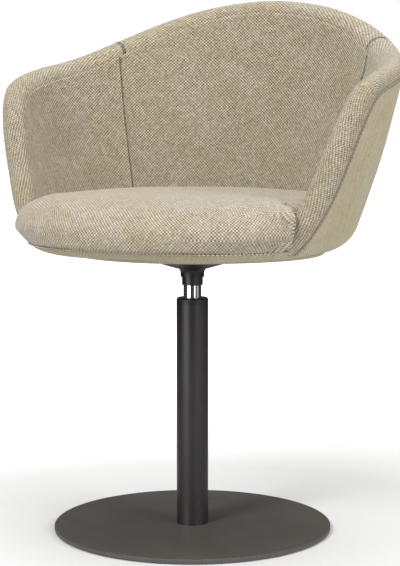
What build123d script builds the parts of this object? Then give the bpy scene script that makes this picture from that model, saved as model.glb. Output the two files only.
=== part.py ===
"""Pedestal swivel armchair: an upholstered tub on a gas-lift column and a round floor disc.

Millimetres. The origin is on the floor at the column's axis, +Z is up and the sitter faces -Y.
The chair stands at its lowest seat height.
"""

from build123d import *
import os
from math import cos, hypot, radians, sin

os.makedirs("parts", exist_ok=True)

# ---------------------------------------------------------------- clearances
seat_gap = 0.3  # between soft or moulded layers that lie on each other
fit_gap = 0.05  # radial, running fit of a sliding or turning pair
press_gap = 0.02  # radial, pressed or screwed-in pair
touch_gap = 0.2  # between a push button and what presses it

# ---------------------------------------------------------------- floor disc and column
disc_diameter = 440
disc_thickness = 6
disc_edge = 1
pad_thickness = 2
pad_inset = 8
column_diameter = 50
column_wall = 2
column_length = 352
foot_height = 18
foot_screw_diameter = 6
foot_screw_head = 12
foot_screw_length = 16
foot_screw_circle = 28
foot_screw_count = 4
bush_cap_height = 10
bush_cap_round = 3
bush_depth = 70

disc_bottom = pad_thickness
disc_top = disc_bottom + disc_thickness
column_top = disc_top + column_length
column_bore = column_diameter / 2 - column_wall
bush_top = column_top + bush_cap_height

# ---------------------------------------------------------------- gas spring
tube_showing = 20
tube_diameter = 28
tube_wall = 2
tube_length = 245
tube_end_wall = 3
tube_lip = 2
taper_length = 27
taper_shrink = 0.6
rod_diameter = 10
spigot_diameter = 8
spigot_tail = 5
gland_height = 16
seal_height = 6
piston_height = 12
piston_from_top = 44
piston_ring_height = 3
piston_ring_depth = 1.5
valve_height = 23
pin_diameter = 8
pin_stem_diameter = 4
pin_button_height = 17
pin_stem_length = 18
pin_stand = 5.3
pin_dome = 6
pin_travel = 2
buffer_height = 25
buffer_diameter = 24
race_diameter = 32
race_thickness = 2.5
race_groove = 0.8
ball_diameter = 5
ball_count = 8
ball_circle = 22
cage_thickness = 1.6
shelf_thickness = 5
clip_thickness = 1.2
clip_diameter = 14
clip_groove = 0.8

hub_bottom = bush_top + tube_showing
tube_top = hub_bottom + taper_length
tube_bottom = tube_top - tube_length
tube_radius = tube_diameter / 2
tube_bore = tube_radius - tube_wall
neck_bore = tube_bore - 1
race_top = tube_bottom - seat_gap - buffer_height
ball_height = race_top - race_thickness - ball_diameter / 2 + race_groove
shelf_top = ball_height - ball_diameter / 2 + race_groove - race_thickness
shelf_bottom = shelf_top - shelf_thickness
pin_top = tube_top + pin_stand

# ---------------------------------------------------------------- seat mechanism
hub_diameter = 33
hub_height = 46
hub_edge = 0.8
hub_chamber = 29
bell_neck_diameter = 37.4
bell_neck_from_hub = 13
bell_neck_height = 6
bell_throat = (27, 14)
bell_rim_diameter = 150
bell_rim_height = 5
bell_wall = 2.5
bell_notch = 20
plate_side = 150
plate_thickness = 4
plate_corner = 18
screw_spacing = 116
screw_diameter = 6
screw_head_diameter = 11
screw_head_height = 3
screw_length = 20
nut_flange_diameter = 18
nut_flange_height = 1.2
nut_barrel_diameter = 8.4
lever_width = 10
lever_thickness = 4
lever_tip = 135
lever_nose = 2
lever_slot_gap = 1.5
pivot_offset = 28
pivot_diameter = 4
pivot_eye = 8
bracket_wall = 2
bracket_length = 18
bracket_below_pivot = 3.5
paddle_length = 38
paddle_width = 24
paddle_thickness = 6
paddle_round = 2.5

plate_bottom = hub_bottom + hub_height
plate_top = plate_bottom + plate_thickness
lever_bottom = pin_top + touch_gap
pivot_height = lever_bottom + lever_thickness / 2

# ---------------------------------------------------------------- upholstered tub
panel_thickness = 6
panel_half_width = 208
panel_back = 190
panel_front = 190
panel_edge = 2
cover_thickness = 3
core_thickness = 7
wall_thickness = 40
rim_wrap = 22
rim_arch = 16
rim_margin = 2
nose_lip = 3.2
bottom_round = 60
side_at_floor = 244
side_at_top = 345
side_swell = 1.7
back_at_floor = 214
back_at_top = 306
back_swell = 1.5
front_reach = 255
back_fullness = 0.6
front_fullness = 0.86
nose_fullness = 0.5
nose_rise = 100
blank_height = 434
tub_sections = (0, 0.08, 0.2, 0.42, 0.7, 1)
wall_foot = 20
band_from = -145
seam_angle = 42.6
seam_centre = -35
cut_inner = 100
cut_outer = 430
cut_height = 330
nose_cut_from = -190
nose_cut_depth = 300

# Rim of the arms, front to back: distance behind (+) or ahead (-) of the column, height, lean of the edge.
arm_rim = [
    (-137, 440, 88),
    (-127, 490, 80),
    (-106, 560, 76),
    (-84, 640, 72),
    (-58, 690, 44),
    (-22, 714, 10),
]
# Rim of the back: turn about the point where the arms end, and height.
back_rim = [(0, 735), (15, 753), (30, 782), (45, 811), (60, 832), (75, 843), (90, 847)]
arm_end = 60

# ---------------------------------------------------------------- seat cushion
crown_start = 480
crown_height = 58
crown_sides = 190
crown_back = 95
crown_front = 150
crown_squareness = 3
crown_steps = (0, 20, 40, 52, 64, 76)
wall_share = 0.435
nose_share = 0.352
board_half_width = 198
board_back = 168
board_front = 190

shell_bottom = plate_top + panel_thickness
core_bottom = shell_bottom + cover_thickness + seat_gap
core_top = core_bottom + core_thickness
skin = core_top - shell_bottom
lining = skin + seat_gap
blank_top = shell_bottom + blank_height


# ---------------------------------------------------------------- shared shapes
def swell(low, high, power, height):
    """Reach of the tub at a height: it opens quickly above the floor, then slowly."""
    share = (height - shell_bottom) / blank_height
    return high - (high - low) * max(1 - share, 0) ** power


def tub_reaches(height, inset):
    """Half width, reach behind and reach in front of the tub at a height."""
    side = swell(side_at_floor, side_at_top, side_swell, height)
    back = swell(back_at_floor, back_at_top, back_swell, height)
    return side - inset, back - inset, front_reach - inset


def fullness_at(height):
    """How square the front corners are in plan at a height: well rounded at the floor, squarer above."""
    below = max(1 - (height - shell_bottom) / nose_rise, 0)
    return front_fullness - (front_fullness - nose_fullness) * below**2


def front_quarter(side, front, full):
    """Control points of the right front quarter of a plan outline, from the side to the nose."""
    return [(side, 0), (side, -full * front), (full * side, -front), (0, -front)]


def outline(side, back, front, full):
    """Plan outline in four smooth quarters; the front ones are given their own fullness."""
    with BuildSketch() as plan:
        with BuildLine():
            Bezier((side, 0), (side, back_fullness * back), (back_fullness * side, back), (0, back))
            Bezier((0, back), (-back_fullness * side, back), (-side, back_fullness * back), (-side, 0))
            Bezier(*[(-x, y) for x, y in front_quarter(side, front, full)])
            Bezier(*reversed(front_quarter(side, front, full)))
        make_face()
    return plan.sketch


def outline_point(turn, height, inset):
    """Point of the plan outline: turn runs from -1 at the nose over 0 at the side to 1 at the back."""
    side, back, front = tub_reaches(height, inset)
    reach, fullness = (back, back_fullness) if turn > 0 else (-front, fullness_at(height))
    t = abs(turn)
    weights = ((1 - t) ** 3, 3 * t * (1 - t) ** 2, 3 * t**2 * (1 - t), t**3)
    x = side * (weights[0] + weights[1] + fullness * weights[2])
    y = reach * (fullness * weights[1] + weights[2] + weights[3])
    return x, y


def reach_along(start, angle, height, inset):
    """Distance from (0, start) to the tub's outline in the direction of an angle in plan."""
    low, high = -1.0, 1.0
    for _ in range(40):
        turn = (low + high) / 2
        x, y = outline_point(turn, height, inset)
        if (y - start) * cos(angle) < x * sin(angle):
            low = turn
        else:
            high = turn
    return hypot(x, y - start)


def tub_form(inset, floor, rounded=True):
    """Right half of the tub's body, drawn in by an inset, from a floor height to above the rim."""
    with BuildPart() as form:
        for share in tub_sections:
            height = floor + share * (blank_top - floor)
            with BuildSketch(Plane.XY.offset(height)):
                add(outline(*tub_reaches(height, inset), fullness_at(height)))
        loft()
        if rounded:
            fillet(form.edges().group_by(Axis.Z)[0], bottom_round - inset)
        split(bisect_by=Plane.YZ, keep=Keep.TOP)
    return form.part


def rim_frames(drop):
    """Planes across the right wall, from the arm's foot to just past the middle of the back.

    Local x points outward and local y off the edge.
    """
    right = []
    for y, height, lean in arm_rim:
        tilt = radians(lean)
        edge = (0, y + drop * sin(tilt), height - drop * cos(tilt))
        right.append((edge, 0, Plane(edge, x_dir=(1, 0, 0), z_dir=(0, -cos(tilt), -sin(tilt)))))
    for turn, height in back_rim:
        angle = radians(turn)
        edge = (0, arm_end, height - drop)
        out = (cos(angle), sin(angle), 0)
        right.append((edge, angle, Plane(edge, x_dir=out, z_dir=(sin(angle), -cos(angle), 0))))
    edge, angle, plane = right[-2]
    past = Plane(edge, x_dir=(-plane.x_dir.X, plane.x_dir.Y, 0), z_dir=(plane.z_dir.X, -plane.z_dir.Y, 0))
    return right + [(edge, angle, past)]


def above_rim(drop, floor, rolled=False):
    """What is cut away above the rim: flat across the wall, or leaving a full-round roll."""
    with BuildPart() as cut:
        for edge, angle, plane in rim_frames(drop):
            with BuildSketch(plane):
                with BuildLine():
                    if rolled:
                        outer = reach_along(edge[1], angle, edge[2], -rim_margin)
                        inner = reach_along(edge[1], angle, edge[2], wall_thickness + rim_margin)
                        Line((cut_inner, -rim_arch), (inner, -rim_arch))
                        ThreePointArc((inner, -rim_arch), ((inner + outer) / 2, 0), (outer, -rim_arch))
                        Line((outer, -rim_arch), (cut_outer, -rim_arch))
                        Line((cut_outer, -rim_arch), (cut_outer, cut_height))
                        Line((cut_outer, cut_height), (cut_inner, cut_height))
                        Line((cut_inner, cut_height), (cut_inner, -rim_arch))
                    else:
                        Polyline(
                            (cut_inner, 0),
                            (cut_outer, 0),
                            (cut_outer, cut_height),
                            (cut_inner, cut_height),
                            close=True,
                        )
                make_face()
        loft()
        with BuildSketch(Plane.XY.offset(floor)):
            Rectangle(4 * cut_outer, 4 * cut_outer)
        extrude(amount=-blank_height, mode=Mode.SUBTRACT)
    return cut.part


def nose_cut(floor):
    """What is cut away in front of the arms, above a floor height."""
    with BuildPart() as cut:
        with BuildSketch(Plane.XY.offset(floor)):
            with Locations((0, nose_cut_from)):
                Rectangle(2 * nose_cut_depth, nose_cut_depth, align=(Align.CENTER, Align.MAX))
        extrude(amount=2 * blank_height)
    return cut.part


def ring(outer, inner, bottom, top):
    """A round part about the column's axis: radii, then heights."""
    with BuildPart() as made:
        with BuildSketch(Plane.XY.offset(bottom)):
            Circle(outer)
            if inner:
                Circle(inner, mode=Mode.SUBTRACT)
        extrude(amount=top - bottom)
    return made.part


def save(part, name):
    """Label a finished piece and write it to its own file."""
    part.label = name
    export_step(part, f"parts/{name}.step")
    count = len(part.solids())
    print(f"{name}: {count} solids, {part.volume / 1000:.1f} cm3, valid {part.is_valid}", flush=True)


# ---------------------------------------------------------------- floor disc
with BuildPart() as floor_pad:
    Cylinder(disc_diameter / 2 - pad_inset, pad_thickness, align=(Align.CENTER, Align.CENTER, Align.MIN))
save(floor_pad.part, "floor_pad")

screw_places = PolarLocations(foot_screw_circle / 2, foot_screw_count, start_angle=45)
screw_sink = (foot_screw_head - foot_screw_diameter) / 2

with BuildPart() as base_plate:
    with BuildSketch(Plane.XY.offset(disc_bottom)):
        Circle(disc_diameter / 2)
    extrude(amount=disc_thickness)
    chamfer(base_plate.faces().sort_by(Axis.Z)[-1].edges(), disc_edge)
    with Locations(Plane(origin=(0, 0, disc_bottom), z_dir=(0, 0, -1))):
        with PolarLocations(foot_screw_circle / 2, foot_screw_count, start_angle=45):
            CounterSinkHole(foot_screw_diameter / 2 + press_gap, foot_screw_head / 2 + press_gap)
save(base_plate.part, "base_plate")

with BuildPart() as column_screws:
    with BuildSketch(Plane.XZ):
        with BuildLine():
            Polyline(
                (0, disc_bottom),
                (foot_screw_head / 2, disc_bottom),
                (foot_screw_diameter / 2, disc_bottom + screw_sink),
                (foot_screw_diameter / 2, disc_bottom + foot_screw_length),
                (0, disc_bottom + foot_screw_length),
                close=True,
            )
        make_face()
    one_screw = revolve(axis=Axis.Z, mode=Mode.PRIVATE)
    with screw_places:
        add(one_screw)
save(column_screws.part, "column_screws")

# ---------------------------------------------------------------- column
with BuildPart() as column_tube:
    add(ring(column_diameter / 2, column_bore, disc_top, column_top))
save(column_tube.part, "column_tube")

with BuildPart() as column_foot:
    add(ring(column_bore - press_gap, 0, disc_top, disc_top + foot_height))
    with BuildSketch(Plane.XY.offset(disc_top)):
        with screw_places:
            Circle(foot_screw_diameter / 2 + press_gap)
    extrude(amount=foot_screw_length - disc_thickness + 1, mode=Mode.SUBTRACT)
save(column_foot.part, "column_foot")

with BuildPart() as bearing_shelf:
    add(ring(column_bore - press_gap, spigot_diameter / 2 + fit_gap, shelf_bottom, shelf_top))
save(bearing_shelf.part, "bearing_shelf")

with BuildPart() as guide_bush:
    add(ring(column_diameter / 2, tube_radius + fit_gap, column_top, bush_top))
    fillet(guide_bush.faces().sort_by(Axis.Z)[-1].edges().sort_by(SortBy.LENGTH)[-1], bush_cap_round)
    add(ring(column_bore - press_gap, tube_radius + fit_gap, column_top - bush_depth, column_top))
save(guide_bush.part, "guide_bush")

# ---------------------------------------------------------------- thrust bearing
groove_radius = ball_diameter / 2 + press_gap
with BuildPart() as ball_groove:
    with BuildSketch(Plane.XZ):
        with Locations((ball_circle / 2, ball_height)):
            Circle(groove_radius)
    revolve(axis=Axis.Z)

with BuildPart() as lower_race:
    add(ring(race_diameter / 2, spigot_diameter / 2 + fit_gap, shelf_top, shelf_top + race_thickness))
    add(ball_groove.part, mode=Mode.SUBTRACT)
save(lower_race.part, "lower_race")

with BuildPart() as upper_race:
    add(ring(race_diameter / 2, spigot_diameter / 2 + press_gap, race_top - race_thickness, race_top))
    add(ball_groove.part, mode=Mode.SUBTRACT)
save(upper_race.part, "upper_race")

with BuildPart() as bearing_balls:
    with Locations((0, 0, ball_height)):
        with PolarLocations(ball_circle / 2, ball_count):
            Sphere(ball_diameter / 2)
save(bearing_balls.part, "bearing_balls")

with BuildPart() as ball_cage:
    half_cage = cage_thickness / 2
    add(ring(race_diameter / 2, spigot_diameter / 2 + 1, ball_height - half_cage, ball_height + half_cage))
    with BuildSketch(Plane.XY.offset(ball_height - half_cage)):
        with PolarLocations(ball_circle / 2, ball_count):
            Circle(ball_diameter / 2 + fit_gap)
    extrude(amount=cage_thickness, mode=Mode.SUBTRACT)
save(ball_cage.part, "ball_cage")

# ---------------------------------------------------------------- piston rod and what turns with it
piston_top = tube_top - piston_from_top
piston_bottom = piston_top - piston_height
spigot_bottom = shelf_bottom - spigot_tail
clip_top = shelf_bottom - touch_gap
spigot_radius = spigot_diameter / 2

with BuildPart() as piston_rod:
    with BuildSketch(Plane.XZ):
        with BuildLine():
            Polyline(
                (0, spigot_bottom),
                (spigot_radius, spigot_bottom),
                (spigot_radius, clip_top - clip_thickness),
                (spigot_radius - clip_groove, clip_top - clip_thickness),
                (spigot_radius - clip_groove, clip_top),
                (spigot_radius, clip_top),
                (spigot_radius, race_top),
                (rod_diameter / 2, race_top),
                (rod_diameter / 2, piston_bottom),
                (spigot_radius, piston_bottom),
                (spigot_radius, piston_top),
                (0, piston_top),
                close=True,
            )
        make_face()
    revolve(axis=Axis.Z)
save(piston_rod.part, "piston_rod")

with BuildPart() as rod_clip:
    with BuildSketch(Plane.XY.offset(clip_top - clip_thickness)):
        Circle(clip_diameter / 2)
        Circle(spigot_radius - clip_groove + press_gap, mode=Mode.SUBTRACT)
        with Locations((clip_diameter / 2, 0)):
            Rectangle(clip_diameter, spigot_diameter - 2 * clip_groove, mode=Mode.SUBTRACT)
    extrude(amount=clip_thickness)
save(rod_clip.part, "rod_clip")

with BuildPart() as piston:
    add(ring(tube_bore - fit_gap, spigot_radius + press_gap, piston_bottom, piston_top))
    ring_bottom = (piston_bottom + piston_top - piston_ring_height) / 2
    add(
        ring(tube_bore, tube_bore - piston_ring_depth, ring_bottom, ring_bottom + piston_ring_height),
        mode=Mode.SUBTRACT,
    )
save(piston.part, "piston")

with BuildPart() as piston_ring:
    groove_floor = tube_bore - piston_ring_depth + press_gap
    add(ring(tube_bore - press_gap, groove_floor, ring_bottom, ring_bottom + piston_ring_height))
save(piston_ring.part, "piston_ring")

with BuildPart() as stop_buffer:
    add(ring(buffer_diameter / 2, rod_diameter / 2 + press_gap, race_top, race_top + buffer_height))
save(stop_buffer.part, "stop_buffer")

# ---------------------------------------------------------------- gas cylinder
gland_bottom = tube_bottom + tube_lip
gland_top = gland_bottom + gland_height
valve_top = tube_top - tube_end_wall
valve_bottom = valve_top - valve_height
taper_start = tube_top - taper_length

with BuildPart() as gas_cylinder:
    with BuildSketch(Plane.XZ):
        with BuildLine():
            Polyline(
                (tube_bore - tube_lip, tube_bottom),
                (tube_radius, tube_bottom),
                (tube_radius, taper_start),
                (tube_radius - taper_shrink, tube_top),
                (pin_diameter / 2 + fit_gap, tube_top),
                (pin_diameter / 2 + fit_gap, valve_top),
                (neck_bore, valve_top),
                (neck_bore, valve_bottom),
                (tube_bore, valve_bottom - 1),
                (tube_bore, gland_bottom),
                (tube_bore - tube_lip, gland_bottom),
                close=True,
            )
        make_face()
    revolve(axis=Axis.Z)
save(gas_cylinder.part, "gas_cylinder")

with BuildPart() as rod_gland:
    add(ring(tube_bore - press_gap, rod_diameter / 2 + fit_gap, gland_bottom, gland_top))
save(rod_gland.part, "rod_gland")

with BuildPart() as rod_seal:
    add(ring(tube_bore - press_gap, rod_diameter / 2 + fit_gap, gland_top, gland_top + seal_height))
save(rod_seal.part, "rod_seal")

button_bottom = pin_top - pin_button_height
stem_bottom = button_bottom - pin_stem_length
with BuildPart() as valve_block:
    add(ring(neck_bore - press_gap, pin_stem_diameter / 2 + fit_gap, valve_bottom, valve_top))
    seat_depth = button_bottom - pin_travel - fit_gap
    add(ring(pin_diameter / 2 + fit_gap, 0, seat_depth, valve_top), mode=Mode.SUBTRACT)
save(valve_block.part, "valve_block")

with BuildPart() as release_pin:
    with BuildSketch(Plane.XZ):
        with BuildLine():
            shoulder = pin_top - pin_dome + (pin_dome**2 - (pin_diameter / 2) ** 2) ** 0.5
            dome = RadiusArc((pin_diameter / 2, shoulder), (0, pin_top), -pin_dome)
            Polyline(
                (0, pin_top),
                (0, stem_bottom),
                (pin_stem_diameter / 2, stem_bottom),
                (pin_stem_diameter / 2, button_bottom),
                (pin_diameter / 2, button_bottom),
                (pin_diameter / 2, shoulder),
            )
        make_face()
    revolve(axis=Axis.Z)
save(release_pin.part, "release_pin")

# ---------------------------------------------------------------- hub, bell and mounting plate
hub_radius = hub_diameter / 2
chamber_bottom = tube_top + seat_gap
slot_half = lever_width / 2 + lever_slot_gap
slot_bottom = lever_bottom - 2 * lever_slot_gap

with BuildPart() as taper_hub:
    with BuildSketch(Plane.XZ):
        with BuildLine():
            Polyline(
                (tube_radius + press_gap, hub_bottom),
                (hub_radius - hub_edge, hub_bottom),
                (hub_radius, hub_bottom + hub_edge),
                (hub_radius, plate_bottom),
                (hub_chamber / 2, plate_bottom),
                (hub_chamber / 2, chamber_bottom),
                (tube_radius - taper_shrink + press_gap, chamber_bottom),
                (tube_radius - taper_shrink + press_gap, tube_top),
                close=True,
            )
        make_face()
    revolve(axis=Axis.Z)
    with BuildSketch(Plane.XY.offset(slot_bottom)):
        Rectangle(hub_diameter, 2 * slot_half, align=(Align.MAX, Align.CENTER))
    extrude(amount=lever_thickness + 4 * lever_slot_gap, mode=Mode.SUBTRACT)
save(taper_hub.part, "taper_hub")

neck_bottom = hub_bottom + bell_neck_from_hub
neck_top = neck_bottom + bell_neck_height
throat_radius, throat_rise = bell_throat
bell_rim = bell_rim_diameter / 2
rim_bottom = plate_bottom - bell_rim_height
with BuildPart() as bell_cover:
    with BuildSketch(Plane.XZ):
        with BuildLine():
            inner = hub_radius + seat_gap
            neck = bell_neck_diameter / 2
            Line((inner, neck_bottom), (neck, neck_bottom))
            Line((neck, neck_bottom), (neck, neck_top))
            flare = TangentArc((neck, neck_top), (throat_radius, neck_bottom + throat_rise), tangent=(0, 1))
            Line(flare @ 1, (bell_rim, rim_bottom))
            Line((bell_rim, rim_bottom), (bell_rim, plate_bottom))
            Line((bell_rim, plate_bottom), (bell_rim - bell_wall, plate_bottom))
            Line((bell_rim - bell_wall, plate_bottom), (bell_rim - bell_wall, rim_bottom + bell_wall))
            throat_top = neck_bottom + throat_rise + bell_wall
            Line((bell_rim - bell_wall, rim_bottom + bell_wall), (throat_radius, throat_top))
            Line((throat_radius, throat_top), (inner, neck_top + bell_wall))
            Line((inner, neck_top + bell_wall), (inner, neck_bottom))
        make_face()
    revolve(axis=Axis.Z)
    with BuildSketch(Plane.XY.offset(pivot_height - bracket_below_pivot - 2 * seat_gap)):
        with Locations((-hub_radius - 1, 0)):
            Rectangle(bell_rim_diameter, bell_notch, align=(Align.MAX, Align.CENTER))
    extrude(amount=hub_height, mode=Mode.SUBTRACT)
save(bell_cover.part, "bell_cover")

with BuildPart() as mounting_plate:
    with BuildSketch(Plane.XY.offset(plate_bottom)):
        RectangleRounded(plate_side, plate_side, plate_corner)
        with GridLocations(screw_spacing, screw_spacing, 2, 2):
            Circle(screw_diameter / 2 + seat_gap, mode=Mode.SUBTRACT)
    extrude(amount=plate_thickness)
save(mounting_plate.part, "mounting_plate")

with BuildPart() as mount_screws:
    with BuildSketch(Plane.XY.offset(plate_bottom)):
        with GridLocations(screw_spacing, screw_spacing, 2, 2):
            Circle(screw_head_diameter / 2)
    extrude(amount=-screw_head_height)
    fillet(mount_screws.faces().group_by(Axis.Z)[0].edges(), screw_head_height / 2)
    with BuildSketch(Plane.XY.offset(plate_bottom)):
        with GridLocations(screw_spacing, screw_spacing, 2, 2):
            Circle(screw_diameter / 2)
    extrude(amount=screw_length)
save(mount_screws.part, "mount_screws")

with BuildPart() as tee_nuts:
    with BuildSketch(Plane.XY.offset(core_bottom)):
        with GridLocations(screw_spacing, screw_spacing, 2, 2):
            Circle(nut_barrel_diameter / 2)
    extrude(amount=core_thickness)
    with BuildSketch(Plane.XY.offset(core_top)):
        with GridLocations(screw_spacing, screw_spacing, 2, 2):
            Circle(nut_flange_diameter / 2)
    extrude(amount=-nut_flange_height)
    with BuildSketch(Plane.XY.offset(core_bottom)):
        with GridLocations(screw_spacing, screw_spacing, 2, 2):
            Circle(screw_diameter / 2 + press_gap)
    extrude(amount=core_thickness, mode=Mode.SUBTRACT)
save(tee_nuts.part, "tee_nuts")

# ---------------------------------------------------------------- release lever
bracket_gap = lever_width / 2 + seat_gap
bracket_out = bracket_gap + bracket_wall
bracket_far = pivot_offset + bracket_length / 2
bracket_near = hub_radius + seat_gap

with BuildPart() as lever_bracket:
    with BuildSketch(Plane.YZ.offset(-bracket_far)):
        with BuildLine():
            foot = pivot_height - bracket_below_pivot
            Polyline(
                (-bracket_out, foot),
                (-bracket_out, plate_bottom),
                (bracket_out, plate_bottom),
                (bracket_out, foot),
                (bracket_gap, foot),
                (bracket_gap, plate_bottom - bracket_wall),
                (-bracket_gap, plate_bottom - bracket_wall),
                (-bracket_gap, foot),
                close=True,
            )
        make_face()
    extrude(amount=bracket_far - bracket_near)
    with BuildSketch(Plane.XZ):
        with Locations((-pivot_offset, pivot_height)):
            Circle(pivot_diameter / 2 + press_gap)
    extrude(amount=2 * bracket_out, both=True, mode=Mode.SUBTRACT)
save(lever_bracket.part, "lever_bracket")

with BuildPart() as pivot_pin:
    with BuildSketch(Plane.XZ):
        with Locations((-pivot_offset, pivot_height)):
            Circle(pivot_diameter / 2)
    extrude(amount=bracket_out + 1, both=True)
save(pivot_pin.part, "pivot_pin")

with BuildPart() as release_lever:
    with BuildSketch(Plane.XZ):
        with Locations(((lever_nose - lever_tip) / 2, pivot_height)):
            Rectangle(lever_nose + lever_tip, lever_thickness)
        with Locations((-pivot_offset, pivot_height)):
            Circle(pivot_eye / 2)
            Circle(pivot_diameter / 2 + fit_gap, mode=Mode.SUBTRACT)
    extrude(amount=lever_width / 2, both=True)
save(release_lever.part, "release_lever")

with BuildPart() as lever_paddle:
    with BuildSketch(Plane.XY.offset(pivot_height - paddle_thickness / 2)):
        with Locations((-lever_tip + paddle_length / 2 - 2, 0)):
            RectangleRounded(paddle_length, paddle_width, paddle_width / 3)
    extrude(amount=paddle_thickness)
    fillet(lever_paddle.faces().sort_by(Axis.Z)[0].edges(), paddle_round)
    fillet(lever_paddle.faces().sort_by(Axis.Z)[-1].edges(), paddle_round)
    with Locations(((lever_nose - lever_tip) / 2, 0, pivot_height)):
        Box(
            lever_nose + lever_tip + 2 * press_gap,
            lever_width + 2 * press_gap,
            lever_thickness + 2 * press_gap,
            mode=Mode.SUBTRACT,
        )
save(lever_paddle.part, "lever_paddle")

# ---------------------------------------------------------------- tub: bottom panel, cover, band and core
with BuildPart() as bottom_panel:
    with BuildSketch(Plane.XY.offset(plate_top)):
        add(outline(panel_half_width, panel_back, panel_front, nose_fullness))
    extrude(amount=panel_thickness)
    fillet(bottom_panel.faces().sort_by(Axis.Z)[0].edges(), panel_edge)
    with BuildSketch(Plane.XY.offset(plate_top)):
        with GridLocations(screw_spacing, screw_spacing, 2, 2):
            Circle(screw_diameter / 2 + seat_gap)
    extrude(amount=panel_thickness, mode=Mode.SUBTRACT)
save(bottom_panel.part, "bottom_panel")

nose_top = core_top + nose_lip
skin_cut = above_rim(rim_wrap + seat_gap, nose_top)
nose_trim = nose_cut(nose_top)
band_plane = Plane(origin=(0, band_from, 0), z_dir=(0, 1, 0))

with BuildPart() as cover_half:
    add(tub_form(0, shell_bottom))
    add(tub_form(cover_thickness, shell_bottom + cover_thickness), mode=Mode.SUBTRACT)
    add(skin_cut, mode=Mode.SUBTRACT)
    add(nose_trim, mode=Mode.SUBTRACT)
    with BuildSketch(Plane.XY.offset(shell_bottom)):
        with GridLocations(screw_spacing, screw_spacing, 2, 2):
            Circle(screw_diameter / 2 + seat_gap)
    extrude(amount=cover_thickness, mode=Mode.SUBTRACT)

with BuildPart() as outer_cover:
    add(cover_half.part)
    split(bisect_by=band_plane, keep=Keep.TOP)
    mirror(about=Plane.YZ)
save(outer_cover.part, "outer_cover")

with BuildPart() as front_band:
    add(cover_half.part)
    split(bisect_by=band_plane, keep=Keep.BOTTOM)
    mirror(about=Plane.YZ)
save(front_band.part, "front_band")

with BuildPart() as shell_core:
    add(tub_form(cover_thickness + seat_gap, core_bottom))
    add(tub_form(skin, core_top), mode=Mode.SUBTRACT)
    add(skin_cut, mode=Mode.SUBTRACT)
    add(nose_trim, mode=Mode.SUBTRACT)
    with BuildSketch(Plane.XY.offset(core_bottom)):
        with GridLocations(screw_spacing, screw_spacing, 2, 2):
            Circle(nut_barrel_diameter / 2 + press_gap)
    extrude(amount=core_thickness, mode=Mode.SUBTRACT)
    with BuildSketch(Plane.XY.offset(core_top)):
        with GridLocations(screw_spacing, screw_spacing, 2, 2):
            Circle(nut_flange_diameter / 2 + press_gap)
    extrude(amount=-nut_flange_height, mode=Mode.SUBTRACT)
    mirror(about=Plane.YZ)
save(shell_core.part, "shell_core")

# ---------------------------------------------------------------- tub: lining panels and rim roll
panel_foot = shell_bottom + wall_foot
cushion_foot = nose_top + seat_gap
cavity = tub_form(wall_thickness, core_top - seat_gap, rounded=False)

with BuildPart() as lining_half:
    add(tub_form(lining, core_top + seat_gap))
    add(cavity, mode=Mode.SUBTRACT)
    add(above_rim(rim_wrap + seat_gap, shell_bottom), mode=Mode.SUBTRACT)
    add(nose_cut(shell_bottom), mode=Mode.SUBTRACT)
    with BuildSketch(Plane.XY.offset(panel_foot)):
        Rectangle(2 * cut_outer, 2 * cut_outer)
    extrude(amount=-blank_height, mode=Mode.SUBTRACT)

with BuildPart() as rim_roll:
    add(tub_form(0, shell_bottom))
    add(cavity, mode=Mode.SUBTRACT)
    add(above_rim(0, shell_bottom - bottom_round, rolled=True), mode=Mode.SUBTRACT)
    add(nose_cut(shell_bottom - bottom_round), mode=Mode.SUBTRACT)
    add(above_rim(rim_wrap, shell_bottom - bottom_round), mode=Mode.INTERSECT)
    with BuildSketch(Plane.XY.offset(cushion_foot)):
        Rectangle(2 * cut_outer, 2 * cut_outer)
    extrude(amount=-blank_height, mode=Mode.SUBTRACT)
    mirror(about=Plane.YZ)
save(rim_roll.part, "rim_roll")

seam_reach = 2 * side_at_top
seam_turn = radians(seam_angle)
with BuildPart() as back_room:
    with BuildSketch(Plane.XY.offset(shell_bottom)):
        with BuildLine():
            Polyline(
                (0, seam_centre),
                (seam_reach * cos(seam_turn), seam_centre + seam_reach * sin(seam_turn)),
                (0, seam_centre + seam_reach),
                close=True,
            )
        make_face()
    extrude(amount=2 * blank_height)

with BuildPart() as back_panel:
    add(lining_half.part)
    add(back_room.part, mode=Mode.INTERSECT)
    mirror(about=Plane.YZ)
save(back_panel.part, "back_panel")

with BuildPart() as left_arm_panel:
    add(lining_half.part)
    add(back_room.part, mode=Mode.SUBTRACT)
save(left_arm_panel.part, "left_arm_panel")

with BuildPart() as right_arm_panel:
    add(mirror(left_arm_panel.part, about=Plane.YZ, mode=Mode.PRIVATE))
save(right_arm_panel.part, "right_arm_panel")

# ---------------------------------------------------------------- seat board and cushion
with BuildPart() as seat_board:
    with BuildSketch(Plane.XY.offset(core_top + seat_gap)):
        add(outline(board_half_width, board_back, board_front, nose_fullness))
    extrude(amount=nose_lip - seat_gap)
save(seat_board.part, "seat_board")


def curve_part(points, start, end):
    """Control points of a stretch of a cubic curve."""
    stretch = []
    for turns in ((start, start, start), (start, start, end), (start, end, end), (end, end, end)):
        stage = points
        for turn in turns:
            stage = [
                (a[0] + turn * (b[0] - a[0]), a[1] + turn * (b[1] - a[1]))
                for a, b in zip(stage, stage[1:])
            ]
        stretch.append(stage[0])
    return stretch


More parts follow.
